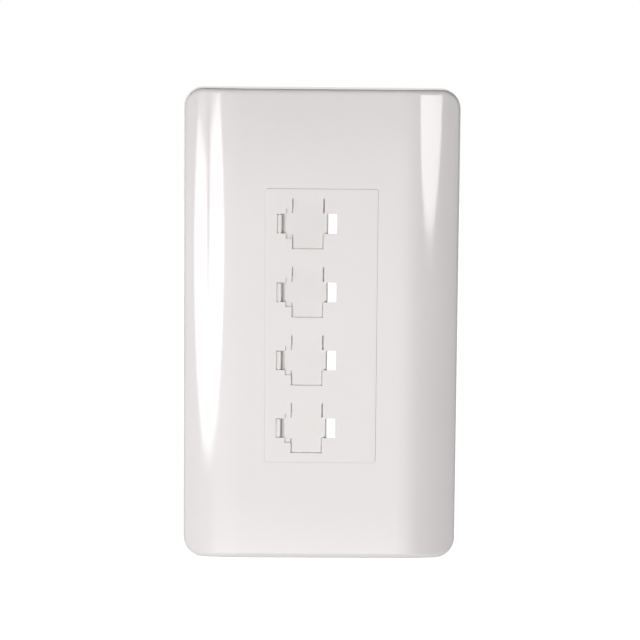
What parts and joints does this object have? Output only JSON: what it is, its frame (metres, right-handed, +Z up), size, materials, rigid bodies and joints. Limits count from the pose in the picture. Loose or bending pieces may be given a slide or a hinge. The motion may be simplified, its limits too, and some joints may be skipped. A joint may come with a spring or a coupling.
{
  "type": "keystone faceplate",
  "caption": "Upright wall faceplate with a crowned clip-on cover and a column of sideways keystone ports, each closed by a sprung sliding shutter.",
  "frame": {"origin": "centre of the wall screw pattern, on the plane of the wall, at the middle of the plate's back", "axes": "+X to the right seen from the front, +Y into the wall, +Z up; the front faces -Y"},
  "size_m": [0.07, 0.0132, 0.12],
  "materials": {
    "gloss_white": "gloss",
    "satin_white": "satin",
    "shutter_white": "semi-gloss",
    "spring_steel": "bright drawn wire"
  },
  "bodies": {
    "plate": {"cover_frame": "gloss_white", "port_fascia": "gloss_white", "keystone_carrier": "satin_white", "mounting_frame": "satin_white", "shutter_spring_1": "spring_steel", "shutter_spring_2": "spring_steel", "shutter_spring_3": "spring_steel", "shutter_spring_4": "spring_steel"},
    "shutter_1_slider": {"shutter_1": "shutter_white"},
    "shutter_2_slider": {"shutter_2": "shutter_white"},
    "shutter_3_slider": {"shutter_3": "shutter_white"},
    "shutter_4_slider": {"shutter_4": "shutter_white"}
  },
  "joints": [
    {"name": "shutter_1_slide", "type": "slide", "parent": "plate", "child": "shutter_1_slider", "axis": [1, 0, 0], "range_m": [0, 0.0114], "stiffness_N_per_m": 45, "springref_m": -0.006, "deforming": ["shutter_spring_1"]},
    {"name": "shutter_2_slide", "type": "slide", "parent": "plate", "child": "shutter_2_slider", "axis": [1, 0, 0], "range_m": [0, 0.0114], "stiffness_N_per_m": 45, "springref_m": -0.006, "deforming": ["shutter_spring_2"]},
    {"name": "shutter_3_slide", "type": "slide", "parent": "plate", "child": "shutter_3_slider", "axis": [1, 0, 0], "range_m": [0, 0.0114], "stiffness_N_per_m": 45, "springref_m": -0.006, "deforming": ["shutter_spring_3"]},
    {"name": "shutter_4_slide", "type": "slide", "parent": "plate", "child": "shutter_4_slider", "axis": [1, 0, 0], "range_m": [0, 0.0114], "stiffness_N_per_m": 45, "springref_m": -0.006, "deforming": ["shutter_spring_4"]}
  ]
}
